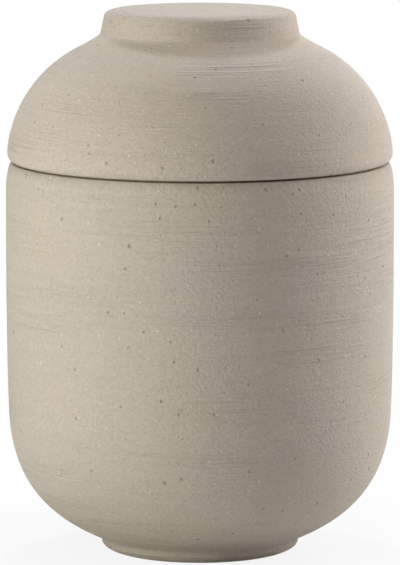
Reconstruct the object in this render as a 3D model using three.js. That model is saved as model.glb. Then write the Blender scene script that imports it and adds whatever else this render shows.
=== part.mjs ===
import * as THREE from "three";

// Lidded stoneware jar: a rounded jar on a low foot, and a domed lid with a low, wide, hollow knob.
// Millimetres, +Z up. The foot stands on Z = 0 and the Z axis is the jar's own axis.
// Each piece is turned from one outline, drawn in (distance from the axis, height).

// Jar, outside
const JAR_HEIGHT = 121.5; // table to rim, where the lid sits
const JAR_RADIUS = 60; // the widest place, under the shoulder
const SHOULDER_HEIGHT = 10.3; // rounding from the widest place up to the rim
const SHOULDER_INSET = 1.9; // how far that rounding draws the rim in
const WALL_DRAW = 0.6; // how much narrower the wall is where the belly starts
const WALL_LEAN = THREE.MathUtils.degToRad(1.8); // the wall's lean at that place
const BELLY_HEIGHT = 44.8; // the belly's start, above the table
const BELLY_SLOPE = THREE.MathUtils.degToRad(23); // the belly's slope where it meets the foot

// Jar, foot
const FOOT_RADIUS = 30.6; // outside of the foot ring
const FOOT_HEIGHT = 5.2; // table to the belly
const FOOT_FLARE = 1.9; // how far the foot spreads to meet the belly
const FOOT_EDGE_WIDTH = 6.6; // rounding under the foot, measured across
const FOOT_EDGE_HEIGHT = 3; // rounding under the foot, measured up
const FOOT_LAND = 2.4; // width of the flat ring that stands on the table
const FOOT_RECESS = 2; // depth of the hollow inside the foot ring

// Jar, inside
const JAR_WALL = 5.5; // wall thickness, from the rim to the belly
const FLOOR_THICKNESS = 6.5; // at the middle of the base
const FLOOR_RADIUS = 12; // the flat middle of the floor
const RIM_ROUND = 0.6; // rounding of the rim's inner edge

// Seam between jar and lid
const SEAM_GAP = 0.5; // the open line that shows all round, half of it cut in each piece
const SEAM_DEPTH = 1.2; // how far that line reaches in before the pieces touch
const SEAM_STEP = 0.2; // run of the slope from the line to the seat

// Lid, outside
const LID_HEIGHT = 46.75; // rim to the top of the knob
const LID_SETBACK = 0.5; // how much smaller the lid's radius is than the jar's
const LID_EDGE_HEIGHT = 2.8; // rounding of the lid's lower edge, measured up
const LID_EDGE_INSET = 2; // rounding of the lid's lower edge, measured in
const NECK_SLOPE = THREE.MathUtils.degToRad(27.3); // the dome's slope where the neck starts
const NECK_RUN = 7.4; // the hollow curve from dome to knob, measured across
const NECK_RISE = 4.8; // the hollow curve from dome to knob, measured up

// Lid, knob
const KNOB_RADIUS = 29.6; // at the top of its side
const KNOB_HEIGHT = 7.15; // its side and its rounded edge together
const KNOB_DRAFT = 1.1; // how much wider the knob is at its root
const KNOB_EDGE_WIDTH = 3.4; // soft edge of the flat top, measured across
const KNOB_EDGE_HEIGHT = 1.9; // soft edge of the flat top, measured down

// Lid, inside
const LID_WALL = 5.5; // thickness of the neck and of the knob
const GALLERY_HEIGHT = 4.5; // straight band inside the lid, above the rim
const HOLLOW_ROUND = 2.5; // roundings inside the knob
const FLANGE_DEPTH = 8; // how far the locating flange drops into the mouth
const FLANGE_WALL = 3.5; // thickness of the flange
const FLANGE_CLEARANCE = 1; // gap all round between the flange and the mouth
const FLANGE_ROUND = 1; // roundings of the flange's lower edges

// Fullness of the free curves: the handle lengths at the start and the end, as shares of the chord
const WALL_FULLNESS = [1 / 3, 1 / 3];
const BELLY_FULLNESS = [0.383, 0.437];
const BASIN_FULLNESS = [0.44, 0.44];
const DOME_FULLNESS = [0.161, 0.502];
const DOME_INSIDE_FULLNESS = [0.42, 0.3];

// Finish: dry, unglazed, sand-grey stoneware
const CLAY_COLOUR = "#c0b39f";
const CLAY_ROUGHNESS = 0.92;

// Facets
const TURNING_STEPS = 64; // round the axis
const CHORD_ERROR = 0.09; // the most that a facet of an outline leaves its curve

// Directions in an outline
const OUT = 0;
const UP = Math.PI / 2;
const IN = Math.PI;
const DOWN = -Math.PI / 2;

// Places that the jar and the lid share
const mouthRadius = JAR_RADIUS - JAR_WALL;
const rimEdgeRadius = JAR_RADIUS - SHOULDER_INSET;
const lidRadius = JAR_RADIUS - LID_SETBACK;
const lidEdgeRadius = lidRadius - LID_EDGE_INSET;
const seamRadius = Math.min(rimEdgeRadius, lidEdgeRadius);
const rimSpan = seamRadius - mouthRadius;
const rimRound = Math.min(RIM_ROUND, rimSpan / 3);
const seatRadius = seamRadius - Math.min(SEAM_DEPTH, rimSpan * 0.4);

const at = (radius, height) => new THREE.Vector2(radius, height);
const heading = (angle) => at(Math.cos(angle), Math.sin(angle));

/** Carries a path to a place on a free curve that leaves and arrives in the given directions. */
function sweepTo(path, leave, place, arrive, [startShare, endShare]) {
  const start = path.currentPoint.clone();
  const chord = start.distanceTo(place);
  const first = start.clone().addScaledVector(heading(leave), chord * startShare);
  const second = place.clone().addScaledVector(heading(arrive), -chord * endShare);
  path.bezierCurveTo(first.x, first.y, second.x, second.y, place.x, place.y);
}

/** Carries a path round an upright corner to a place, on a quarter of an ellipse. */
function roundTo(path, corner, place) {
  const start = path.currentPoint.clone();
  const centre = start.clone().add(place).sub(corner);
  const from = start.clone().sub(centre);
  const to = place.clone().sub(centre);
  const reach = corner.clone().sub(centre);
  const clockwise = from.cross(to) < 0;
  path.absellipse(
    centre.x,
    centre.y,
    Math.abs(reach.x),
    Math.abs(reach.y),
    Math.atan2(from.y, from.x),
    Math.atan2(to.y, to.x),
    clockwise,
  );
}

/** The place where a line through one place meets a line through another. */
function meeting(place, direction, otherPlace, otherDirection) {
  const along = heading(direction);
  const across = heading(otherDirection);
  const distance = otherPlace.clone().sub(place).cross(across) / along.cross(across);
  return place.clone().addScaledVector(along, distance);
}

/** Points along a path, closer together where it bends more. */
function outlinePoints(path) {
  const points = [path.curves[0].getPoint(0)];
  for (const curve of path.curves) {
    const bend = Math.abs(curve.getTangent(0).angleTo(curve.getTangent(1)));
    const steps = Math.max(1, Math.ceil(Math.sqrt((curve.getLength() * bend) / (8 * CHORD_ERROR))));
    for (let step = 1; step <= steps; step += 1) {
      points.push(curve.getPoint(step / steps));
    }
  }
  return points;
}

/** Turns an outline about +Z into a solid piece of the set. */
function turned(name, path) {
  const geometry = new THREE.LatheGeometry(outlinePoints(path), TURNING_STEPS);
  geometry.rotateX(UP);
  const clay = new THREE.MeshStandardMaterial({
    color: CLAY_COLOUR,
    roughness: CLAY_ROUGHNESS,
    metalness: 0,
  });
  const mesh = new THREE.Mesh(geometry, clay);
  mesh.name = name;
  return mesh;
}

/** From the axis, across the hollow underside and the standing ring, up to the belly. */
function drawFoot(path) {
  const landOuter = FOOT_RADIUS - FOOT_EDGE_WIDTH;
  const landInner = landOuter - FOOT_LAND;
  const top = at(FOOT_RADIUS + FOOT_FLARE, FOOT_HEIGHT);
  const hollow = meeting(top, BELLY_SLOPE, at(FOOT_RADIUS, 0), UP);
  const edgeHeight = Math.min(FOOT_EDGE_HEIGHT, hollow.y * 0.75);
  path.moveTo(0, FOOT_RECESS);
  path.lineTo(landInner - FOOT_RECESS, FOOT_RECESS);
  roundTo(path, at(landInner, FOOT_RECESS), at(landInner, 0));
  path.lineTo(landOuter, 0);
  roundTo(path, at(FOOT_RADIUS, 0), at(FOOT_RADIUS, edgeHeight));
  path.quadraticCurveTo(hollow.x, hollow.y, top.x, top.y);
}

/** Up the belly, the wall and the shoulder to the outer edge of the rim. */
function drawJarOutside(path) {
  const lineHeight = JAR_HEIGHT - SEAM_GAP / 2;
  const wallStart = at(JAR_RADIUS - WALL_DRAW, BELLY_HEIGHT);
  const widest = at(JAR_RADIUS, JAR_HEIGHT - SHOULDER_HEIGHT);
  sweepTo(path, BELLY_SLOPE, wallStart, UP - WALL_LEAN, BELLY_FULLNESS);
  sweepTo(path, UP - WALL_LEAN, widest, UP, WALL_FULLNESS);
  roundTo(path, at(JAR_RADIUS, lineHeight), at(rimEdgeRadius, lineHeight));
}

/** Across the seam line and the flat seat to the inner edge of the rim. */
function drawRim(path) {
  path.lineTo(seatRadius + SEAM_STEP, JAR_HEIGHT - SEAM_GAP / 2);
  path.lineTo(seatRadius, JAR_HEIGHT);
  path.lineTo(mouthRadius + rimRound, JAR_HEIGHT);
  roundTo(path, at(mouthRadius, JAR_HEIGHT), at(mouthRadius, JAR_HEIGHT - rimRound));
}

/** Down the inner wall and round the basin to the middle of the floor. */
function drawJarInside(path) {
  const floor = FOOT_RECESS + FLOOR_THICKNESS;
  const basinStart = at(mouthRadius - WALL_DRAW, BELLY_HEIGHT);
  sweepTo(path, DOWN, basinStart, DOWN - WALL_LEAN, WALL_FULLNESS);
  sweepTo(path, DOWN - WALL_LEAN, at(FLOOR_RADIUS, floor), IN, BASIN_FULLNESS);
  path.lineTo(0, floor);
}

function makeJar() {
  const path = new THREE.Path();
  drawFoot(path);
  drawJarOutside(path);
  drawRim(path);
  drawJarInside(path);
  return turned("jar_body", path);
}

const knobRoot = at(KNOB_RADIUS + KNOB_DRAFT, LID_HEIGHT - KNOB_HEIGHT);
const neckStart = at(knobRoot.x + NECK_RUN, knobRoot.y - NECK_RISE);
const flangeOuter = mouthRadius - FLANGE_CLEARANCE;
const flangeInner = flangeOuter - FLANGE_WALL;

/** From the axis, under the knob's top, down the hollow of the knob and the dome. */
function drawLidInside(path) {
  const ceiling = LID_HEIGHT - LID_WALL;
  const hollowRadius = KNOB_RADIUS - LID_WALL;
  const neckInside = neckStart.clone().addScaledVector(heading(UP - NECK_SLOPE), -LID_WALL);
  const corner = meeting(neckInside, IN - NECK_SLOPE, at(hollowRadius, 0), UP);
  const round = Math.min(HOLLOW_ROUND, (ceiling - corner.y) / 2.2);
  const cornerEnd = corner.clone().addScaledVector(heading(OUT - NECK_SLOPE), round);
  path.moveTo(0, ceiling);
  path.lineTo(hollowRadius - round, ceiling);
  roundTo(path, at(hollowRadius, ceiling), at(hollowRadius, ceiling - round));
  path.lineTo(hollowRadius, corner.y + round);
  path.quadraticCurveTo(corner.x, corner.y, cornerEnd.x, cornerEnd.y);
  path.lineTo(neckInside.x, neckInside.y);
  sweepTo(path, OUT - NECK_SLOPE, at(flangeInner, GALLERY_HEIGHT), DOWN, DOME_INSIDE_FULLNESS);
}

/** Down, round and up the flange that drops into the jar's mouth. */
function drawFlange(path) {
  const round = Math.min(FLANGE_ROUND, FLANGE_WALL / 3);
  const low = -FLANGE_DEPTH;
  path.lineTo(flangeInner, low + round);
  roundTo(path, at(flangeInner, low), at(flangeInner + round, low));
  path.lineTo(flangeOuter - round, low);
  roundTo(path, at(flangeOuter, low), at(flangeOuter, low + round));
  path.lineTo(flangeOuter, 0);
}

/** Across the seat and the seam line to the lid's rounded lower edge, and up the dome. */
function drawDome(path) {
  const lineHeight = SEAM_GAP / 2;
  path.lineTo(seatRadius, 0);
  path.lineTo(seatRadius + SEAM_STEP, lineHeight);
  path.lineTo(lidEdgeRadius, lineHeight);
  roundTo(path, at(lidRadius, lineHeight), at(lidRadius, LID_EDGE_HEIGHT));
  sweepTo(path, UP, neckStart, IN - NECK_SLOPE, DOME_FULLNESS);
}

/** Through the hollow neck, up the knob's side and over its soft edge to the flat top. */
function drawKnob(path) {
  const sideTop = at(KNOB_RADIUS, LID_HEIGHT - KNOB_EDGE_HEIGHT);
  const side = sideTop.clone().sub(knobRoot).angle();
  const bend = meeting(neckStart, IN - NECK_SLOPE, knobRoot, side);
  path.quadraticCurveTo(bend.x, bend.y, knobRoot.x, knobRoot.y);
  path.lineTo(sideTop.x, sideTop.y);
  roundTo(path, at(KNOB_RADIUS, LID_HEIGHT), at(KNOB_RADIUS - KNOB_EDGE_WIDTH, LID_HEIGHT));
  path.lineTo(0, LID_HEIGHT);
}

/** The lid in its own frame: its seat is at height 0. */
function makeLid() {
  const path = new THREE.Path();
  drawLidInside(path);
  drawFlange(path);
  drawDome(path);
  drawKnob(path);
  return turned("lid", path);
}

const jar = makeJar();
const lid = makeLid();
lid.position.z = JAR_HEIGHT;

const group = new THREE.Group();
group.add(jar, lid);

export default group;
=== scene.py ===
"""Looks of a lidded stoneware jar: dry, turned clay outside and a satin glaze inside."""

import logging
import math
from dataclasses import dataclass, field
from enum import Enum

import bmesh
import bpy
from mathutils import Color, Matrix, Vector, noise
from mathutils.geometry import interpolate_bezier


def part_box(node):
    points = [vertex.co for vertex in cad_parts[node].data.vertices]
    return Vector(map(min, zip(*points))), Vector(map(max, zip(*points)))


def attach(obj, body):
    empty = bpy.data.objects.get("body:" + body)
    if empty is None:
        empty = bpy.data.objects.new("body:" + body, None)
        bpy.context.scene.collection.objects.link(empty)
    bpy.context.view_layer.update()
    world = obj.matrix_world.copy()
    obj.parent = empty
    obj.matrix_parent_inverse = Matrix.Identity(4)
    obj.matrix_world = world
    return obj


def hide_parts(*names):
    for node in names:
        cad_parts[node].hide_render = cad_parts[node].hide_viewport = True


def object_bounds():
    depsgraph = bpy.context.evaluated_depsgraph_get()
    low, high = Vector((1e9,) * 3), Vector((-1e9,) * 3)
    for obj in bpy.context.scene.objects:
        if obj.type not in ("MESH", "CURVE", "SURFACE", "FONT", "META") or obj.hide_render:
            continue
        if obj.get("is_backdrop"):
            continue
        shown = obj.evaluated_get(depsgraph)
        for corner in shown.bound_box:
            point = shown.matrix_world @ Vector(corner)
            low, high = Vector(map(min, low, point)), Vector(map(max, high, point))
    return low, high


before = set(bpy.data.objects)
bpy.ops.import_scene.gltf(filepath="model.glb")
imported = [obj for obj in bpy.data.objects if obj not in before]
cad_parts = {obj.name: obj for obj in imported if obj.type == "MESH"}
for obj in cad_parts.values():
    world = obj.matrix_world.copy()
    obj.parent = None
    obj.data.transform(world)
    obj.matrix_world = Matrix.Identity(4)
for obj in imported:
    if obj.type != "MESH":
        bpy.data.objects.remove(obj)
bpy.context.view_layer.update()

LOG = logging.getLogger("lidded_jar")

MM = 0.001  # the frame is in metres, and the sizes of the pieces are in millimetres
SECTORS = 16  # round the axis; one is turned first, and the rest are its copies
SECTOR_STEPS = 16  # facets in each sector
MERGE_DISTANCE = 0.004 * MM  # vertices of two sectors or stretches that lie closer are one
SHARP_ANGLE = math.radians(34)  # edges that turn by more stay crisp

OUT = 0.0
UP = math.pi / 2
IN = math.pi
DOWN = -math.pi / 2
GENTLE = (1 / 3, 1 / 3)  # handles that only lean a curve away from its chord
CORNER_PULL = 2 / 3  # how far the handles of a bend reach towards its corner
SWEEP_STRETCH = 1.15  # about how much longer a free curve is than its chord
BEND_STRETCH = 1.1  # the same for a bend or a rounded corner
CURVE_STEPS = 8  # the fewest on a free curve or a bend
CORNER_STEPS = 6  # the fewest on a rounded corner

Rgba = tuple[float, float, float, float]
WHITE: Rgba = (1.0, 1.0, 1.0, 1.0)
Value = "Wire | float | int | tuple[float, ...]"


# Outlines


class Skin(Enum):
    """How a stretch of an outline is finished."""

    WORKED = "dry clay that shows the marks of turning"
    PLAIN = "dry clay, wiped smooth for a seat"
    GLAZED = "satin glaze over turned clay"

    @property
    def pitch(self) -> float:
        """Distance between rings of vertices, in millimetres."""
        return 2.0 if self is Skin.GLAZED else 0.8

    @property
    def slot(self) -> int:
        """Place of this skin's material among those of the piece."""
        return 1 if self is Skin.GLAZED else 0


@dataclass
class Stretch:
    """A part of an outline that has one skin, as places from its start to its end."""

    skin: Skin
    places: list[Vector]


def at(radius: float, height: float) -> Vector:
    """A place in an outline: distance from the axis and height."""
    return Vector((radius, height))


def heading(angle: float) -> Vector:
    """The direction in an outline that an angle gives."""
    return Vector((math.cos(angle), math.sin(angle)))


def meeting(place: Vector, direction: float, other: Vector, other_direction: float) -> Vector:
    """The place where a line through one place meets a line through another.

    Args:
        place: A place on the first line.
        direction: The first line's direction.
        other: A place on the second line.
        other_direction: The second line's direction.

    Returns:
        The place where the two lines cross.
    """
    along, across = heading(direction), heading(other_direction)
    distance = (other - place).cross(across) / along.cross(across)
    return place + along * distance


class Outline:
    """One half of a piece's section, drawn in millimetres as a pen would draw it."""

    def __init__(self, start: Vector, skin: Skin) -> None:
        """Puts the pen down.

        Args:
            start: Where the outline starts.
            skin: The finish that it starts with.
        """
        self.stretches = [Stretch(skin, [start])]

    @property
    def pen(self) -> Vector:
        """Where the pen stands."""
        return self.stretches[-1].places[-1]

    def change_skin(self, skin: Skin) -> None:
        """Starts a new stretch with another finish, from where the pen stands."""
        self.stretches.append(Stretch(skin, [self.pen.copy()]))

    def _steps(self, length: float, least: int) -> int:
        """How many steps a length takes at this skin's pitch."""
        return max(least, math.ceil(length / self.stretches[-1].skin.pitch))

    def line_to(self, place: Vector) -> None:
        """Draws a straight line.

        Args:
            place: Where it ends.
        """
        start = self.pen.copy()
        steps = self._steps((place - start).length, 1)
        self.stretches[-1].places += [start.lerp(place, i / steps) for i in range(1, steps + 1)]

    def sweep_to(
        self, leave: float, place: Vector, arrive: float, fullness: tuple[float, float]
    ) -> None:
        """Draws a free curve.

        Args:
            leave: The direction in which it leaves the pen's place.
            place: Where it ends.
            arrive: The direction in which it arrives there.
            fullness: The lengths of its two handles, as shares of its chord.
        """
        start = self.pen.copy()
        chord = (place - start).length
        first = start + heading(leave) * chord * fullness[0]
        second = place - heading(arrive) * chord * fullness[1]
        steps = self._steps(chord * SWEEP_STRETCH, CURVE_STEPS)
        self._bezier(first, second, place, steps)

    def bend_to(self, corner: Vector, place: Vector) -> None:
        """Draws a curve that is pulled towards a corner.

        Args:
            corner: The corner that it doesn't reach.
            place: Where it ends.
        """
        start = self.pen.copy()
        first, second = start.lerp(corner, CORNER_PULL), place.lerp(corner, CORNER_PULL)
        steps = self._steps((place - start).length * BEND_STRETCH, CURVE_STEPS)
        self._bezier(first, second, place, steps)

    def round_to(self, corner: Vector, place: Vector) -> None:
        """Draws a quarter of an ellipse in an upright corner.

        Args:
            corner: The corner that it rounds.
            place: Where it ends.
        """
        start = self.pen.copy()
        centre = start + place - corner
        steps = self._steps((place - start).length * BEND_STRETCH, CORNER_STEPS)
        turns = [i / steps * math.pi / 2 for i in range(1, steps + 1)]
        self.stretches[-1].places += [
            centre + (start - centre) * math.cos(t) + (place - centre) * math.sin(t) for t in turns
        ]

    def _bezier(self, first: Vector, second: Vector, place: Vector, steps: int) -> None:
        """Adds a cubic curve's places after the pen's own.

        Args:
            first: The end of the handle at the pen.
            second: The end of the handle at the curve's end.
            place: Where the curve ends.
            steps: How many pieces it has.
        """
        self.stretches[-1].places += [
            p.to_2d() for p in interpolate_bezier(self.pen, first, second, place, steps + 1)[1:]
        ]


# Pieces


@dataclass(frozen=True)
class Seam:
    """Where the jar and the lid meet, in millimetres."""

    gap: float = 0.5  # the open line that shows all round
    depth: float = 1.2  # how far that line reaches in before the pieces touch
    step: float = 0.2  # run of the slope from the line to the seat
    edge_radius: float = 57.5  # where the lid's lower edge starts
    mouth_radius: float = 54.5
    height: float = 121.5

    @property
    def seat_radius(self) -> float:
        """Outer radius of the flat seat."""
        return self.edge_radius - self.depth


@dataclass(frozen=True)
class TurningMarks:
    """The low rings that a rib and a sponge leave on a turned wall."""

    depth: float = 0.035  # of the deepest ring, in millimetres
    rings: float = 0.34  # broad rings per millimetre
    run: float = 0.022  # how soon a broad ring changes along its course, per millimetre
    narrow_rings: float = 2.3  # narrow rings to each broad one
    narrow_run: float = 1.7  # how much sooner a narrow ring changes
    narrow_start: float = 9.0  # keeps the narrow rings apart from the broad ones
    mean: float = 0.58  # shares of the depth: the mean, what the rings add, and the least
    broad_share: float = 0.33
    narrow_share: float = 0.17
    least: float = 0.15
    calm_radius: float = 6.0  # round the axis, where the rings fade out, in millimetres

    def depth_at(self, place: Vector, rise: float) -> float:
        """How far the surface lies inside its true outline.

        Args:
            place: The vertex, in metres.
            rise: Distance along the outline, in millimetres.

        Returns:
            The depth in metres, always a little more than zero.
        """
        x, y, height = place.x / MM * self.run, place.y / MM * self.run, rise * self.rings
        narrow_x, narrow_y = x * self.narrow_run + self.narrow_start, y * self.narrow_run
        broad = noise.noise(Vector((x, y, height)))
        narrow = noise.noise(Vector((narrow_x, narrow_y, height * self.narrow_rings)))
        share = self.mean + self.broad_share * broad + self.narrow_share * narrow
        return self.depth * MM * max(self.least, share)


@dataclass
class TurnedPiece:
    """A piece of the jar that is turned about +Z from one outline."""

    seam: Seam
    marks: TurningMarks = field(default_factory=TurningMarks)
    name: str = "piece"
    node: str = "node"
    body: str = "body"
    rise_sign: float = 1.0  # +1 where the outline widens as it climbs, -1 where it narrows

    def outline(self) -> Outline:
        """The piece's outline, drawn so that the clay is on the left of the pen."""
        raise NotImplementedError

    def build(self, materials: list[bpy.types.Material]) -> bpy.types.Object:
        """Turns the outline into a closed mesh and dresses it.

        Args:
            materials: The clay and the glaze, in the order of Skin.slot.

        Returns:
            The finished piece, riding on its body.
        """
        shape = bmesh.new()
        worked = shape.faces.layers.int.new("worked")
        for stretch in self.outline().stretches:
            self._turn_sector(shape, stretch, worked)
        self._turn_rest(shape)
        bmesh.ops.remove_doubles(shape, verts=shape.verts, dist=MERGE_DISTANCE)
        bmesh.ops.recalc_face_normals(shape, faces=shape.faces)
        self._turn_marks(shape, worked)
        shape.faces.layers.int.remove(worked)
        mesh = bpy.data.meshes.new(self.name)
        for material in materials:
            mesh.materials.append(material)
        shape.to_mesh(mesh)
        shape.free()
        mesh.shade_smooth()
        mesh.set_sharp_from_angle(angle=SHARP_ANGLE)
        piece = bpy.data.objects.new(self.name, mesh)
        bpy.context.scene.collection.objects.link(piece)
        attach(piece, self.body)
        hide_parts(self.node)
        LOG.info("%s: %d faces, rides on %s", self.name, len(mesh.polygons), self.body)
        return piece

    def _turn_sector(
        self, shape: bmesh.types.BMesh, stretch: Stretch, worked: bmesh.types.BMLayerItem
    ) -> None:
        """Spins one stretch through one sector and dresses its faces.

        Args:
            shape: The mesh to add to.
            stretch: The part of the outline.
            worked: The layer that tells the faces with turning marks from the smooth ones.
        """
        known = len(shape.faces)
        verts = [shape.verts.new((p.x * MM, 0, p.y * MM)) for p in stretch.places]
        edges = [shape.edges.new(pair) for pair in zip(verts, verts[1:])]
        bmesh.ops.spin(
            shape,
            geom=[*verts, *edges],
            cent=(0, 0, 0),
            axis=(0, 0, 1),
            angle=math.tau / SECTORS,
            steps=SECTOR_STEPS,
        )
        shape.faces.ensure_lookup_table()
        for face in shape.faces[known:]:
            face.material_index = stretch.skin.slot
            face[worked] = stretch.skin is not Skin.PLAIN

    @staticmethod
    def _turn_rest(shape: bmesh.types.BMesh) -> None:
        """Copies the first sector round the axis.

        Args:
            shape: The mesh, which holds one sector.
        """
        bmesh.ops.spin(
            shape,
            geom=[*shape.verts, *shape.edges, *shape.faces],
            cent=(0, 0, 0),
            axis=(0, 0, 1),
            angle=math.tau * (SECTORS - 1) / SECTORS,
            steps=SECTORS - 1,
            use_duplicate=True,
        )

    def _turn_marks(self, shape: bmesh.types.BMesh, worked: bmesh.types.BMLayerItem) -> None:
        """Presses the turning marks into every face that isn't wiped smooth.

        Args:
            shape: The whole mesh.
            worked: The layer that tells the faces with turning marks from the smooth ones.
        """
        shape.normal_update()
        for vert in shape.verts:
            if all(face[worked] for face in vert.link_faces):
                radius = math.hypot(vert.co.x, vert.co.y)
                rise = (vert.co.z + self.rise_sign * radius) / MM
                fade = min(1.0, radius / (self.marks.calm_radius * MM))
                vert.co -= vert.normal * self.marks.depth_at(vert.co, rise) * fade


@dataclass
class JarBody(TurnedPiece):
    """The jar: foot ring, belly, wall, shoulder, rim and basin. Sizes in millimetres."""

    name: str = "stoneware_jar"
    node: str = "jar_body"
    body: str = "jar"
    radius: float = 60.0  # the widest place, under the shoulder
    height: float = 121.5  # table to rim
    shoulder_height: float = 10.3
    shoulder_inset: float = 1.9
    wall_draw: float = 0.6  # how much narrower the wall is where the belly starts
    wall_lean: float = math.radians(1.8)
    belly_height: float = 44.8
    belly_slope: float = math.radians(23)
    belly_fullness: tuple[float, float] = (0.383, 0.437)
    foot_radius: float = 30.6
    foot_height: float = 5.2
    foot_flare: float = 1.9
    foot_edge: tuple[float, float] = (6.6, 3.0)  # rounding under the foot, across and up
    foot_land: float = 2.4  # width of the ring that stands on the table
    foot_recess: float = 2.0
    floor_thickness: float = 6.5
    floor_radius: float = 12.0
    basin_fullness: tuple[float, float] = (0.44, 0.44)
    rim_round: float = 0.6
    rim_bare: float = 6.0  # band of bare clay inside the mouth, above the glaze

    def outline(self) -> Outline:
        """Draws from the axis under the foot, up the outside, over the rim and down inside.

        Returns:
            The jar's outline.
        """
        pen = Outline(at(0, self.foot_recess), Skin.WORKED)
        self._draw_foot(pen)
        self._draw_outside(pen)
        self._draw_rim(pen)
        self._draw_inside(pen)
        return pen

    def _draw_foot(self, pen: Outline) -> None:
        """Draws the hollow underside, the standing ring and the foot's outside.

        Args:
            pen: The outline so far.
        """
        land_outer = self.foot_radius - self.foot_edge[0]
        land_inner = land_outer - self.foot_land
        top = at(self.foot_radius + self.foot_flare, self.foot_height)
        hollow = meeting(top, self.belly_slope, at(self.foot_radius, 0), UP)
        pen.line_to(at(land_inner - self.foot_recess, self.foot_recess))
        pen.round_to(at(land_inner, self.foot_recess), at(land_inner, 0))
        pen.change_skin(Skin.PLAIN)
        pen.line_to(at(land_outer, 0))
        pen.change_skin(Skin.WORKED)
        pen.round_to(at(self.foot_radius, 0), at(self.foot_radius, self.foot_edge[1]))
        pen.bend_to(hollow, top)

    def _draw_outside(self, pen: Outline) -> None:
        """Draws the belly, the wall and the shoulder.

        Args:
            pen: The outline so far.
        """
        line_height = self.height - self.seam.gap / 2
        edge_radius = self.radius - self.shoulder_inset
        wall_start = at(self.radius - self.wall_draw, self.belly_height)
        widest = at(self.radius, self.height - self.shoulder_height)
        pen.sweep_to(self.belly_slope, wall_start, UP - self.wall_lean, self.belly_fullness)
        pen.sweep_to(UP - self.wall_lean, widest, UP, GENTLE)
        pen.round_to(at(self.radius, line_height), at(edge_radius, line_height))

    def _draw_rim(self, pen: Outline) -> None:
        """Draws the seam line, the flat seat and the rim's inner edge.

        Args:
            pen: The outline so far.
        """
        seat, mouth = self.seam.seat_radius, self.seam.mouth_radius
        pen.change_skin(Skin.PLAIN)
        pen.line_to(at(seat + self.seam.step, self.height - self.seam.gap / 2))
        pen.line_to(at(seat, self.height))
        pen.line_to(at(mouth + self.rim_round, self.height))
        pen.round_to(at(mouth, self.height), at(mouth, self.height - self.rim_round))
        pen.line_to(at(mouth, self.height - self.rim_bare))

    def _draw_inside(self, pen: Outline) -> None:
        """Draws the inner wall and the basin, down to the middle of the floor.

        Args:
            pen: The outline so far.
        """
        floor = self.foot_recess + self.floor_thickness
        basin_start = at(self.seam.mouth_radius - self.wall_draw, self.belly_height)
        pen.change_skin(Skin.GLAZED)
        pen.sweep_to(DOWN, basin_start, DOWN - self.wall_lean, GENTLE)
        floor_edge = at(self.floor_radius, floor)
        pen.sweep_to(DOWN - self.wall_lean, floor_edge, IN, self.basin_fullness)
        pen.line_to(at(0, floor))


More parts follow.
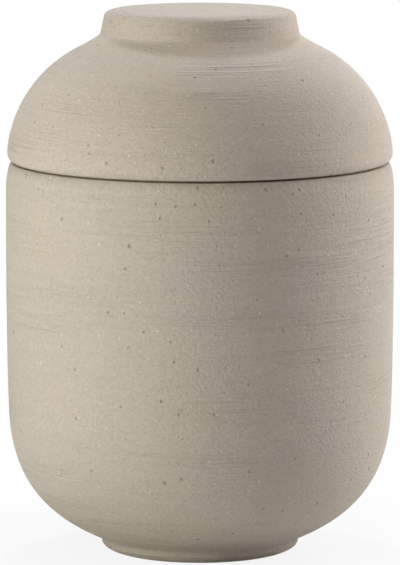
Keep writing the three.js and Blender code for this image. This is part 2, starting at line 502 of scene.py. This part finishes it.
@dataclass
class Lid(TurnedPiece):
    """The lid: flange, dome, neck and hollow knob. Sizes in millimetres."""

    name: str = "stoneware_lid"
    node: str = "lid"
    body: str = "lid"
    rise_sign: float = -1.0
    radius: float = 59.5
    top: float = 168.25  # table to the top of the knob
    edge_height: float = 2.8
    dome_fullness: tuple[float, float] = (0.161, 0.502)
    neck_slope: float = math.radians(27.3)
    neck: tuple[float, float] = (7.4, 4.8)  # the hollow curve, across and up
    knob_radius: float = 29.6
    knob_height: float = 7.15
    knob_draft: float = 1.1
    knob_edge: tuple[float, float] = (3.4, 1.9)  # soft edge of the flat top, across and down
    wall: float = 5.5
    hollow_fullness: tuple[float, float] = (0.42, 0.3)  # inside the dome
    gallery_height: float = 4.5
    hollow_round: float = 2.5
    flange_depth: float = 8.0
    flange_wall: float = 3.5
    flange_clearance: float = 1.0
    flange_round: float = 1.0

    @property
    def knob_root(self) -> Vector:
        """Where the knob's side starts."""
        return at(self.knob_radius + self.knob_draft, self.top - self.knob_height)

    @property
    def neck_start(self) -> Vector:
        """Where the dome ends and the neck starts."""
        return self.knob_root + at(self.neck[0], -self.neck[1])

    @property
    def flange_outer(self) -> float:
        """Outer radius of the flange."""
        return self.seam.mouth_radius - self.flange_clearance

    def outline(self) -> Outline:
        """Draws from the axis down inside, round the flange and up the dome and the knob.

        Returns:
            The lid's outline.
        """
        pen = Outline(at(0, self.top - self.wall), Skin.GLAZED)
        self._draw_inside(pen)
        self._draw_flange(pen)
        self._draw_dome(pen)
        self._draw_knob(pen)
        return pen

    def _draw_inside(self, pen: Outline) -> None:
        """Draws the hollow of the knob and the inside of the dome.

        Args:
            pen: The outline so far.
        """
        ceiling = self.top - self.wall
        hollow = self.knob_radius - self.wall
        neck_inside = self.neck_start - heading(UP - self.neck_slope) * self.wall
        corner = meeting(neck_inside, IN - self.neck_slope, at(hollow, 0), UP)
        rounding = self.hollow_round
        flange_inner = self.flange_outer - self.flange_wall
        pen.line_to(at(hollow - rounding, ceiling))
        pen.round_to(at(hollow, ceiling), at(hollow, ceiling - rounding))
        pen.line_to(at(hollow, corner.y + rounding))
        pen.bend_to(corner, corner + heading(OUT - self.neck_slope) * rounding)
        pen.line_to(neck_inside)
        gallery = at(flange_inner, self.seam.height + self.gallery_height)
        pen.sweep_to(OUT - self.neck_slope, gallery, DOWN, self.hollow_fullness)

    def _draw_flange(self, pen: Outline) -> None:
        """Draws the flange that drops into the jar's mouth.

        Args:
            pen: The outline so far.
        """
        low = self.seam.height - self.flange_depth
        rounding = self.flange_round
        outer, inner = self.flange_outer, self.flange_outer - self.flange_wall
        pen.change_skin(Skin.PLAIN)
        pen.line_to(at(inner, low + rounding))
        pen.round_to(at(inner, low), at(inner + rounding, low))
        pen.line_to(at(outer - rounding, low))
        pen.round_to(at(outer, low), at(outer, low + rounding))
        pen.line_to(at(outer, self.seam.height))

    def _draw_dome(self, pen: Outline) -> None:
        """Draws the seat, the seam line, the lower edge and the dome.

        Args:
            pen: The outline so far.
        """
        line_height = self.seam.height + self.seam.gap / 2
        seat = self.seam.seat_radius
        edge_top = at(self.radius, self.seam.height + self.edge_height)
        pen.line_to(at(seat, self.seam.height))
        pen.line_to(at(seat + self.seam.step, line_height))
        pen.line_to(at(self.seam.edge_radius, line_height))
        pen.change_skin(Skin.WORKED)
        pen.round_to(at(self.radius, line_height), edge_top)
        pen.sweep_to(UP, self.neck_start, IN - self.neck_slope, self.dome_fullness)

    def _draw_knob(self, pen: Outline) -> None:
        """Draws the neck, the knob's side, its soft edge and its flat top.

        Args:
            pen: The outline so far.
        """
        across, down = self.knob_edge
        side_top = at(self.knob_radius, self.top - down)
        run = side_top - self.knob_root
        side = math.atan2(run.y, run.x)
        bend = meeting(self.neck_start, IN - self.neck_slope, self.knob_root, side)
        pen.bend_to(bend, self.knob_root)
        pen.line_to(side_top)
        pen.round_to(at(self.knob_radius, self.top), at(self.knob_radius - across, self.top))
        pen.line_to(at(0, self.top))


# Shaders

SMALLEST_SPECK = 0.3  # as a share of the largest of its kind
RING_ROUGHNESS = 0.6  # how strong the finer rings are beside the coarser ones
GRAIN_DRAG = 0.8  # below 1, grain is longer round the axis than it is high


def paint(red: int, green: int, blue: int) -> Rgba:
    """A colour written in display values from 0 to 255, as a shader takes it."""
    linear = Color((red / 255, green / 255, blue / 255)).from_srgb_to_scene_linear()
    return (*linear, 1.0)


class Wire:
    """A shader socket that takes part in Python expressions."""

    def __init__(self, graph: "Graph", socket: bpy.types.NodeSocket) -> None:
        """Wraps an output socket of a graph."""
        self.graph = graph
        self.socket = socket

    def _maths(self, operation: str, first: Value, second: Value) -> "Wire":
        """Adds a Math node."""
        return self.graph.node("ShaderNodeMath", {"operation": operation}, {0: first, 1: second})

    def __add__(self, other: Value) -> "Wire":
        """The sum."""
        return self._maths("ADD", self, other)

    def __radd__(self, other: Value) -> "Wire":
        """The sum, with a number first."""
        return self._maths("ADD", other, self)

    def __sub__(self, other: Value) -> "Wire":
        """The difference."""
        return self._maths("SUBTRACT", self, other)

    def __rsub__(self, other: Value) -> "Wire":
        """The difference, with a number first."""
        return self._maths("SUBTRACT", other, self)

    def __mul__(self, other: Value) -> "Wire":
        """The product."""
        return self._maths("MULTIPLY", self, other)

    def __rmul__(self, other: Value) -> "Wire":
        """The product, with a number first."""
        return self._maths("MULTIPLY", other, self)

    def __pow__(self, other: Value) -> "Wire":
        """The power."""
        return self._maths("POWER", self, other)

    def __rpow__(self, other: Value) -> "Wire":
        """A number to this power."""
        return self._maths("POWER", other, self)


@dataclass(frozen=True)
class Clouds:
    """One layer of cloudy noise."""

    scale: float  # clouds to a unit of length
    detail: float = 2.0  # how many finer layers lie in it
    roughness: float = 0.5  # how strong each finer layer is beside the one before


@dataclass(frozen=True)
class Rings:
    """One layer of uneven rings about the axis."""

    per_mm: float  # rings to a millimetre of the outline
    run: float  # how soon a ring changes along its course, per millimetre
    detail: float = 2.0  # how many finer rings lie in each


@dataclass(frozen=True)
class Specks:
    """One kind of grain or hole that is strewn through the clay. Lengths in millimetres."""

    spacing: float  # mean distance between two of them
    radius: float  # of the largest one
    edge: float  # how soft its edge is, as a share of its radius
    show: float  # how much of its own colour it shows
    height: float  # how far it stands out, or lies in where this is negative
    polish: float = 0.0  # how much less rough it is than the clay


class Graph:
    """A node tree that is filled by short calls."""

    def __init__(self, tree: bpy.types.NodeTree) -> None:
        """Empties a tree, to start from nothing."""
        self.tree = tree
        tree.nodes.clear()

    def node(
        self,
        kind: str,
        settings: dict[str, object] | None = None,
        inputs: dict[str | int, Value] | None = None,
        output: str | int = 0,
    ) -> Wire:
        """Adds a node.

        Args:
            kind: The node's type.
            settings: Its properties, which are set before anything is linked.
            inputs: A value or a wire for each of its sockets, by name, identifier or index.
            output: The output that the wire comes from.

        Returns:
            The wire from that output, or from nothing where the node has none.
        """
        made = self.tree.nodes.new(kind)
        for key, value in (settings or {}).items():
            setattr(made, key, value)
        for key, value in (inputs or {}).items():
            socket = self._socket(made.inputs, key)
            if isinstance(value, Wire):
                self.tree.links.new(value.socket, socket)
            else:
                socket.default_value = value
        return Wire(self, self._socket(made.outputs, output) if made.outputs else None)

    @staticmethod
    def _socket(sockets: bpy.types.bpy_prop_collection, key: str | int) -> bpy.types.NodeSocket:
        """Finds a socket.

        Args:
            sockets: A node's inputs or outputs.
            key: The socket's index, identifier or name.

        Returns:
            The socket.
        """
        if isinstance(key, int):
            return sockets[key]
        return next(s for s in sockets if key in (s.identifier, s.name))

    def mix(self, factor: Value, first: Value, second: Value, blend: str = "MIX") -> Wire:
        """Mixes two colours.

        Args:
            factor: How much of the second is taken.
            first: The first colour.
            second: The second colour.
            blend: How the two are put together.

        Returns:
            The mixed colour.
        """
        return self.node(
            "ShaderNodeMix",
            {"data_type": "RGBA", "blend_type": blend},
            {"Factor_Float": factor, "A_Color": first, "B_Color": second},
            "Result_Color",
        )

    def spread(
        self, value: Wire, low: Value, high: Value, start: float = 0.0, end: float = 1.0
    ) -> Wire:
        """Carries a value from low..high to start..end with soft ends.

        Args:
            value: What is carried over.
            low: The value that gives start.
            high: The value that gives end.
            start: What low and anything past it give.
            end: What high and anything past it give.

        Returns:
            The carried value.
        """
        return self.node(
            "ShaderNodeMapRange",
            {"interpolation_type": "SMOOTHSTEP"},
            {"Value": value, "From Min": low, "From Max": high, "To Min": start, "To Max": end},
        )

    def vector(self, x: Value, y: Value, z: Value) -> Wire:
        """A vector from its three parts."""
        return self.node("ShaderNodeCombineXYZ", {}, {0: x, 1: y, 2: z})

    def noise(self, place: Wire, clouds: Clouds) -> Wire:
        """A cloudy value about one half.

        Args:
            place: The position.
            clouds: Which layer of noise.

        Returns:
            The value, mostly between 0.3 and 0.7.
        """
        inputs = {
            "Vector": place,
            "Scale": clouds.scale,
            "Detail": clouds.detail,
            "Roughness": clouds.roughness,
        }
        return self.node("ShaderNodeTexNoise", {"noise_dimensions": "3D"}, inputs, "Fac")

    def strew(self, place: Wire, specks: Specks) -> Wire:
        """Strews round specks through the clay, each with its own size.

        Args:
            place: The position in millimetres.
            specks: What is strewn.

        Returns:
            1 inside a speck and 0 outside.
        """
        settings = {"voronoi_dimensions": "3D", "feature": "F1"}
        inputs = {"Vector": place, "Scale": 1 / specks.spacing, "Randomness": 1.0}
        distance = self.node("ShaderNodeTexVoronoi", settings, inputs, "Distance")
        colour = self.node("ShaderNodeTexVoronoi", settings, inputs, "Color")
        own = self.node("ShaderNodeSeparateColor", {}, {"Color": colour}, "Red")
        size = (own * (1 - SMALLEST_SPECK) + SMALLEST_SPECK) * (specks.radius / specks.spacing)
        return self.spread(distance, size * (1 - specks.edge), size, 1.0, 0.0)

    def surface(self, colour: Wire, roughness: Wire, relief: Wire, specular: float = 0.5) -> None:
        """Ends the graph in a surface.

        Args:
            colour: Its colour.
            roughness: Its roughness.
            relief: Its height, in millimetres.
            specular: The strength of its mirror light, the same all over.
        """
        bump = {"Strength": 1.0, "Distance": MM, "Height": relief}
        inputs = {
            "Base Color": colour,
            "Roughness": roughness,
            "Specular IOR Level": specular,
            "Normal": self.node("ShaderNodeBump", {}, bump),
        }
        shader = self.node("ShaderNodeBsdfPrincipled", {}, inputs)
        self.node("ShaderNodeOutputMaterial", {}, {"Surface": shader})


@dataclass(frozen=True)
class ClayPlace:
    """The coordinates that every finish of the jar reads, in millimetres."""

    place: Wire  # the whole position
    x: Wire
    y: Wire
    z: Wire
    rise: Wire  # distance along the outline

    @classmethod
    def read(cls, graph: Graph, rise_sign: float) -> "ClayPlace":
        """Reads object coordinates.

        Args:
            graph: The material's graph.
            rise_sign: +1 where the outline widens as it climbs, -1 where it narrows.

        Returns:
            The position, its three parts, and the distance along the outline.
        """
        metres = graph.node("ShaderNodeTexCoord", {}, {}, "Object")
        place = graph.node(
            "ShaderNodeVectorMath", {"operation": "SCALE"}, {0: metres, "Scale": 1 / MM}
        )
        x = graph.node("ShaderNodeSeparateXYZ", {}, {0: place}, "X")
        y = graph.node("ShaderNodeSeparateXYZ", {}, {0: place}, "Y")
        z = graph.node("ShaderNodeSeparateXYZ", {}, {0: place}, "Z")
        radius = (x * x + y * y) ** 0.5
        return cls(place, x, y, z, z + radius * rise_sign)

    def lines(self, graph: Graph, rings: Rings) -> Wire:
        """Uneven rings about the axis.

        Args:
            graph: The material's graph.
            rings: Which layer of rings.

        Returns:
            A value about one half that changes from ring to ring.
        """
        run, per_mm = rings.run, rings.per_mm
        stretched = graph.vector(self.x * run, self.y * run, self.rise * per_mm)
        return graph.noise(stretched, Clouds(1.0, rings.detail, RING_ROUGHNESS))

    def dragged(self, graph: Graph) -> Wire:
        """The position, drawn out round the axis as a rib drags the clay's grain."""
        return graph.vector(self.x * GRAIN_DRAG, self.y * GRAIN_DRAG, self.rise)


@dataclass(frozen=True)
class DryClay:
    """Unglazed, sand-grey stoneware with fine grog, as it comes from the kiln."""

    name: str
    rise_sign: float
    warm: tuple[int, int, int] = (195, 184, 165)
    cool: tuple[int, int, int] = (192, 183, 167)
    pale: tuple[int, int, int] = (232, 226, 214)  # of grog and dust
    dark: tuple[int, int, int] = (112, 102, 90)  # of pits and pores
    roughness: float = 0.9
    roughness_drift: float = 0.12  # how much the grain changes it
    specular: float = 0.3
    grog: Specks = Specks(3.0, 0.55, 0.7, 0.62, 0.08, 0.15)
    dust: Specks = Specks(1.2, 0.3, 0.8, 0.22, 0.05)
    pits: Specks = Specks(5.2, 0.8, 0.6, 0.36, -0.28)
    pores: Specks = Specks(2.0, 0.55, 0.8, 0.2, -0.08)
    fine_rings: Rings = Rings(0.95, 0.03)
    broad_rings: Rings = Rings(0.3, 0.02)
    bands: Rings = Rings(0.11, 0.018, 1.0)  # where the fine rings are strong
    band_edges: tuple[float, float] = (0.44, 0.66)
    between_bands: float = 0.15  # strength that the fine rings keep outside the bands
    line_height: float = 0.84  # of the fine rings, in millimetres
    line_tone: float = 0.28  # how much the fine rings change the colour
    broad_tone: float = 0.06  # how much the broad rings do
    sand: Clouds = Clouds(1.3, 1.0)  # grain that can be felt
    sand_height: float = 0.27  # in millimetres
    grain: Clouds = Clouds(1.15)  # grain that is seen by its colour
    grain_tone: float = 0.36
    mottle: Clouds = Clouds(0.045, 3.0, 0.55)  # drift from warm to cool clay
    mottle_edges: tuple[float, float] = (0.3, 0.7)
    rim: float = 121.5  # height of the seam; just below it the jar's clay is darkened by painted shade, where the lid's overhang shades it
    seam_shade_band: tuple[float, float] = (3.5, 0.5)  # below the seam: where the painted shade starts, and where it is full
    # how much painted shade darkens the clay below the seam
    seam_shade_tone: float = 0.0

    def material(self) -> bpy.types.Material:
        """Builds the material.

        Returns:
            The material with its colour, roughness and relief.
        """
        made = bpy.data.materials.new(self.name)
        made.use_nodes = True
        graph = Graph(made.node_tree)
        where = ClayPlace.read(graph, self.rise_sign)
        fine = where.lines(graph, self.fine_rings)
        broad = where.lines(graph, self.broad_rings)
        bands = graph.spread(where.lines(graph, self.bands), *self.band_edges)
        sand = graph.noise(where.dragged(graph), self.sand)
        grain = graph.noise(where.dragged(graph), self.grain)
        drift = graph.spread(graph.noise(where.place, self.mottle), *self.mottle_edges)

        rings = (fine - 0.5) * (bands * (1 - self.between_bands) + self.between_bands)
        # painted shade under the lid's overhang: the clay is darkened in a band just below the seam
        start, full = self.seam_shade_band
        painted_seam_shade = graph.spread(where.z, self.rim - start, self.rim - full, 0.0, self.seam_shade_tone)
        tone = 1 + rings * self.line_tone + (broad - 0.5) * self.broad_tone
        tone = tone + (grain - 0.5) * self.grain_tone - painted_seam_shade
        colour = graph.mix(drift, paint(*self.warm), paint(*self.cool))
        colour = graph.mix(1.0, colour, graph.vector(tone, tone, tone), "MULTIPLY")
        relief = rings * self.line_height + (sand - 0.5) * self.sand_height
        roughness = self.roughness + (grain - 0.5) * self.roughness_drift
        for specks, tint in (
            (self.pores, self.dark),
            (self.dust, self.pale),
            (self.grog, self.pale),
            (self.pits, self.dark),
        ):
            inside = graph.strew(where.place, specks)
            colour = graph.mix(inside * specks.show, colour, paint(*tint))
            relief = relief + inside * specks.height
            if specks.polish:
                roughness = roughness - inside * specks.polish
        graph.surface(colour, roughness, relief, self.specular)
        LOG.info("%s: %d nodes", self.name, len(made.node_tree.nodes))
        return made


@dataclass(frozen=True)
class SatinGlaze:
    """A thin, food-safe satin glaze that lets the clay's colour through."""

    name: str
    rise_sign: float
    thin: tuple[int, int, int] = (182, 172, 154)
    thick: tuple[int, int, int] = (200, 193, 178)
    fleck: tuple[int, int, int] = (128, 112, 92)
    flecks: Specks = Specks(3.4, 0.42, 0.7, 0.55, 0.01, -0.1)
    rings: Rings = Rings(0.3, 0.02)
    ring_pooling: float = 0.6  # how much the rings thicken and thin the glaze
    ring_height: float = 0.12  # in millimetres
    pools: Clouds = Clouds(0.06, 3.0, 0.6)
    pool_edges: tuple[float, float] = (0.35, 0.65)
    ripples: Clouds = Clouds(0.35)
    ripple_height: float = 0.08  # in millimetres
    roughness: float = 0.34
    roughness_drift: float = 0.16  # how much the ripples change it

    def material(self) -> bpy.types.Material:
        """Builds the material.

        Returns:
            The material with its colour, sheen and relief.
        """
        made = bpy.data.materials.new(self.name)
        made.use_nodes = True
        graph = Graph(made.node_tree)
        where = ClayPlace.read(graph, self.rise_sign)
        rings = where.lines(graph, self.rings) - 0.5
        pools = graph.noise(where.place, self.pools) + rings * self.ring_pooling
        ripple = graph.noise(where.place, self.ripples) - 0.5
        inside = graph.strew(where.place, self.flecks)
        depth = graph.spread(pools, *self.pool_edges)
        colour = graph.mix(depth, paint(*self.thin), paint(*self.thick))
        colour = graph.mix(inside * self.flecks.show, colour, paint(*self.fleck))
        relief = rings * self.ring_height + ripple * self.ripple_height
        relief = relief + inside * self.flecks.height
        roughness = self.roughness + ripple * self.roughness_drift
        graph.surface(colour, roughness - inside * self.flecks.polish, relief)
        LOG.info("%s: %d nodes", self.name, len(made.node_tree.nodes))
        return made


# Stage


@dataclass(frozen=True)
class Softbox:
    """A flat studio lamp that faces the jar."""

    name: str
    azimuth: float  # degrees from the camera's side, to the right
    elevation: float  # degrees above the jar's middle
    distance: float  # in metres, and so are the width and the height
    width: float
    height: float
    power: float  # in watts
    tint: tuple[float, float, float] = (1.0, 1.0, 1.0)

    def place(self, middle: Vector) -> bpy.types.Object:
        """Sets the lamp up.

        Args:
            middle: The jar's middle, which the lamp faces.

        Returns:
            The lamp.
        """
        data = bpy.data.lights.new(self.name, "AREA")
        data.shape = "RECTANGLE"
        data.size, data.size_y = self.width, self.height
        data.energy = self.power
        data.color = self.tint
        lamp = bpy.data.objects.new(self.name, data)
        bpy.context.scene.collection.objects.link(lamp)
        turn, tilt = math.radians(self.azimuth), math.radians(self.elevation)
        level = math.cos(tilt)
        back = Vector((math.sin(turn) * level, -math.cos(turn) * level, math.sin(tilt)))
        lamp.location = middle + back * self.distance
        lamp.rotation_mode = "QUATERNION"
        lamp.rotation_quaternion = (-back).to_track_quat("-Z", "Y")
        lamp.visible_camera = False
        return lamp


@dataclass
class Studio:
    """Floor, world, lamps and camera."""

    middle: Vector
    floor_side: float = 8.0
    floor_tone: float = 0.8
    floor_white: float = 0.88  # how far the floor is white by itself beside the jar
    shadow_reach: tuple[float, float] = (0.04, 0.16)  # where the jar's shadow fades on the floor
    camera_elevation: float = math.radians(7.84)
    camera_distance: float = 1.6
    camera_aim: float = 0.0835  # height above the table
    camera_clip: float = 50.0
    lens: float = 328.98  # in millimetres, for the film below
    film: float = 36.0  # across the picture's long side
    lamps: tuple[Softbox, ...] = (
        Softbox("left_strip", -60, 0, 0.42, 0.16, 0.5, 0.31),
        Softbox("left_low", -55, -5, 0.42, 0.16, 0.09, 0.37),
        Softbox("left_softbox", -45, 18, 0.42, 0.16, 0.5, 0.49),
        Softbox("left_top", -75, 40, 0.5, 0.25, 0.25, 0.44),
        Softbox("right_strip", 100, 3, 0.42, 0.16, 0.5, 1.21, (1.02, 1.0, 1.06)),
        Softbox("right_top", 100, 40, 0.5, 0.25, 0.25, 0.92, (1.02, 1.0, 1.07)),
        Softbox("front_top", 0, 60, 0.7, 0.3, 0.3, 0.74, (1.04, 1.0, 0.91)),
        Softbox("back_spot", -174, 58, 0.7, 0.09, 0.09, 2.12, (0.91, 1.0, 1.2)),
        Softbox("back_softbox", 180, 10, 0.7, 0.4, 0.5, 0.254),
    )

    def build(self) -> None:
        """Sets the whole studio up."""
        self._lay_floor()
        self._light_world()
        for lamp in self.lamps:
            lamp.place(self.middle)
            LOG.info("%s: %.1f W", lamp.name, lamp.power)
        self._place_camera()

    @staticmethod
    def _seen(graph: Graph) -> Wire:
        """Tells the rays by which the background is seen, directly, in a mirror or through glass.

        Args:
            graph: The graph that asks.

        Returns:
            1 for such a ray and 0 for any other.
        """
        camera = graph.node("ShaderNodeLightPath", {}, {}, "Is Camera Ray")
        glossy = graph.node("ShaderNodeLightPath", {}, {}, "Is Glossy Ray")
        through = graph.node("ShaderNodeLightPath", {}, {}, "Is Transmission Ray")
        return 1 - (1 - camera) * (1 - glossy) * (1 - through)

    def _lay_floor(self) -> None:
        """Makes the pale floor, which keeps the jar's shadow."""
        shape = bmesh.new()
        bmesh.ops.create_grid(shape, x_segments=1, y_segments=1, size=self.floor_side / 2)
        mesh = bpy.data.meshes.new("floor")
        shape.to_mesh(mesh)
        shape.free()
        made = bpy.data.materials.new("pale_floor")
        made.use_nodes = True
        graph = Graph(made.node_tree)
        tone = (self.floor_tone, self.floor_tone, self.floor_tone, 1.0)
        place = graph.node("ShaderNodeTexCoord", {}, {}, "Object")
        reach = graph.node("ShaderNodeVectorMath", {"operation": "LENGTH"}, {0: place}, "Value")
        clear = self._seen(graph) * graph.spread(reach, *self.shadow_reach, self.floor_white, 1.0)
        lit = graph.node("ShaderNodeBsdfDiffuse", {}, {"Color": tone})
        white = graph.node("ShaderNodeEmission", {}, {"Color": WHITE, "Strength": 1.0})
        surface = graph.node("ShaderNodeMixShader", {}, {0: clear, 1: lit, 2: white})
        below = graph.node("ShaderNodeNewGeometry", {}, {}, "Backfacing")
        camera = graph.node("ShaderNodeLightPath", {}, {}, "Is Camera Ray")
        through = graph.node("ShaderNodeBsdfTransparent")
        surface = graph.node("ShaderNodeMixShader", {}, {0: below * camera, 1: surface, 2: through})
        graph.node("ShaderNodeOutputMaterial", {}, {"Surface": surface})
        mesh.materials.append(made)
        floor = bpy.data.objects.new("floor", mesh)
        bpy.context.scene.collection.objects.link(floor)
        floor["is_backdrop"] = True

    def _light_world(self) -> None:
        """Makes the world white where it is seen or mirrored, and dark for diffuse light."""
        world = bpy.data.worlds.new("studio_world")
        world.use_nodes = True
        graph = Graph(world.node_tree)
        inputs = {"Color": WHITE, "Strength": self._seen(graph)}
        light = graph.node("ShaderNodeBackground", {}, inputs)
        graph.node("ShaderNodeOutputWorld", {}, {"Surface": light})
        bpy.context.scene.world = world

    def _place_camera(self) -> None:
        """Puts the camera where the photograph was taken from."""
        data = bpy.data.cameras.new("camera")
        data.sensor_width = self.film
        data.lens = self.lens
        data.clip_end = self.camera_clip
        camera = bpy.data.objects.new("camera", data)
        bpy.context.scene.collection.objects.link(camera)
        tilt = self.camera_elevation
        back = Vector((0, -math.cos(tilt), math.sin(tilt)))
        camera.location = Vector((0, 0, self.camera_aim)) + back * self.camera_distance
        camera.rotation_mode = "QUATERNION"
        camera.rotation_quaternion = (-back).to_track_quat("-Z", "Y")
        bpy.context.scene.camera = camera


def main() -> None:
    """Builds the jar, its lid and the studio."""
    logging.basicConfig(level=logging.INFO, format="%(name)s %(message)s")
    bpy.context.scene.view_settings.view_transform = "Standard"
    low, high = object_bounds()
    Studio(middle=(low + high) / 2).build()
    jar_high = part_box("jar_body")[1]
    lid_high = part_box("lid")[1]
    seam = Seam(height=jar_high.z / MM)
    jar = JarBody(seam=seam, radius=jar_high.x / MM, height=jar_high.z / MM)
    lid = Lid(seam=seam, radius=lid_high.x / MM, top=lid_high.z / MM)
    # the jar's clay gets painted shade just below the seam, under the lid's overhang
    jar_clay = DryClay("jar_clay", jar.rise_sign, rim=jar.height, seam_shade_tone=0.12)
    jar.build([jar_clay.material(), SatinGlaze("jar_glaze", jar.rise_sign).material()])
    lid_clay = DryClay("lid_clay", lid.rise_sign, warm=(197, 184, 166), cool=(194, 183, 168))
    lid.build([lid_clay.material(), SatinGlaze("lid_glaze", lid.rise_sign).material()])


if __name__ == "__main__":
    main()
